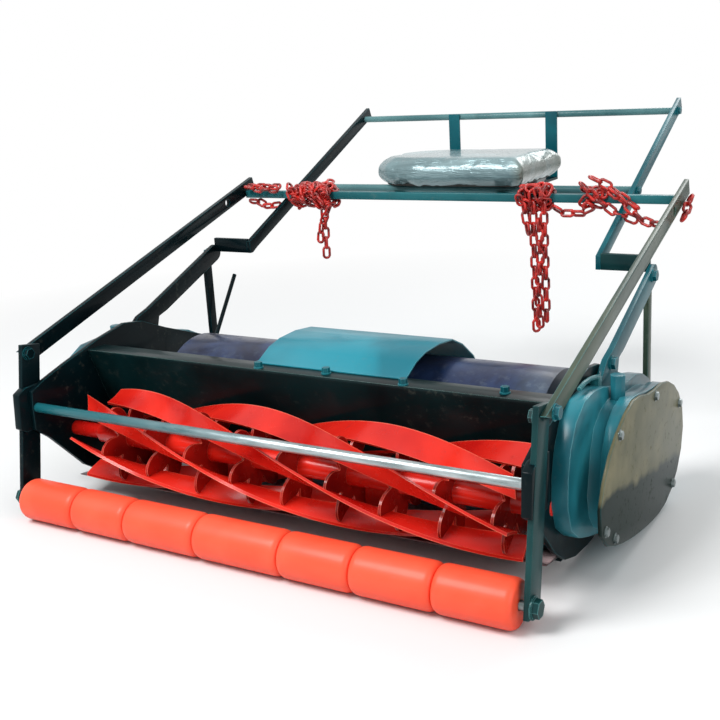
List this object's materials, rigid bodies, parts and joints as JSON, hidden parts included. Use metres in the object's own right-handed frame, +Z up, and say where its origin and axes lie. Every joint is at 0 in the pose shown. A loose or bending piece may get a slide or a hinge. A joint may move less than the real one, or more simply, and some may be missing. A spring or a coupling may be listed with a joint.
{
  "type": "drawn roller mower",
  "caption": "Drawn cylinder mower with a helical cutting reel, sectional front roller, land drum, side gear cases and a raised seat frame hung with chains.",
  "frame": {"origin": "on the ground under the middle of the machine's box", "axes": "+Z up; X along the cutting width and the shafts; +Y from the front roller back to the seat rail"},
  "size_m": [1.212, 1.3146, 0.7264],
  "materials": {
    "board_wood": "dark painted board",
    "bright_steel": "plated steel",
    "case_paint": "green-blue gloss paint",
    "chain_paint": "red paint, worn",
    "cover_paint": "light blue-green gloss paint",
    "drum_paint": "dark slate-blue paint",
    "frame_paint": "dark green gloss paint",
    "knife_steel": "ground steel",
    "reel_paint": "red gloss paint",
    "roller_paint": "orange-red paint",
    "seat_wrap": "grey cover under clear film"
  },
  "bodies": {
    "frame": {"back_rail": "frame_paint", "bed_bar": "frame_paint", "bed_knife": "knife_steel", "bracket_leg_left": "frame_paint", "bracket_leg_right": "frame_paint", "bracket_strut_left": "frame_paint", "bracket_strut_right": "frame_paint", "chain_left": "chain_paint", "chain_right": "chain_paint", "crossbar_front": "frame_paint", "crossbar_rear": "frame_paint", "deflector_plate": "frame_paint", "drum_cover": "cover_paint", "filler_caps": "frame_paint", "front_post_left": "frame_paint", "front_post_right": "frame_paint", "gear_case_left": "case_paint", "gear_case_right": "case_paint", "gear_cover_left": "case_paint", "gear_cover_right": "case_paint", "hand_lever": "frame_paint", "knee_bar_left": "frame_paint", "knee_bar_right": "frame_paint", "long_bar_left": "frame_paint", "long_bar_right": "frame_paint", "post_guide_left": "frame_paint", "post_guide_right": "frame_paint", "roller_shaft": "bright_steel", "seat_arm_left": "frame_paint", "seat_arm_right": "frame_paint", "seat_blocks": "frame_paint", "seat_board": "board_wood", "seat_cushion": "seat_wrap", "seat_straps": "frame_paint", "shift_rod": "frame_paint", "side_plate_left": "frame_paint", "side_plate_right": "frame_paint", "strap_uprights": "frame_paint", "tie_rod": "bright_steel"},
    "front_roller": {"roller_sections": "roller_paint"},
    "land_drum": {"drum_shells": "drum_paint", "drum_axle": "bright_steel"},
    "cutting_reel": {"reel_blades": "reel_paint", "reel_spiders": "reel_paint", "reel_shaft": "reel_paint"}
  },
  "joints": [
    {"name": "roller_turn", "type": "hinge", "parent": "frame", "child": "front_roller", "pos_m": [0, -0.61627, 0.041], "axis": [1, 0, 0], "continuous": true},
    {"name": "drum_turn", "type": "hinge", "parent": "frame", "child": "land_drum", "pos_m": [0, -0.21627, 0.146], "axis": [1, 0, 0], "continuous": true},
    {"name": "reel_turn", "type": "hinge", "parent": "frame", "child": "cutting_reel", "pos_m": [0, -0.48127, 0.148], "axis": [1, 0, 0], "continuous": true}
  ],
  "couplings": [
    {"joint": "reel_turn", "follows": "drum_turn", "ratio": -5}
  ]
}
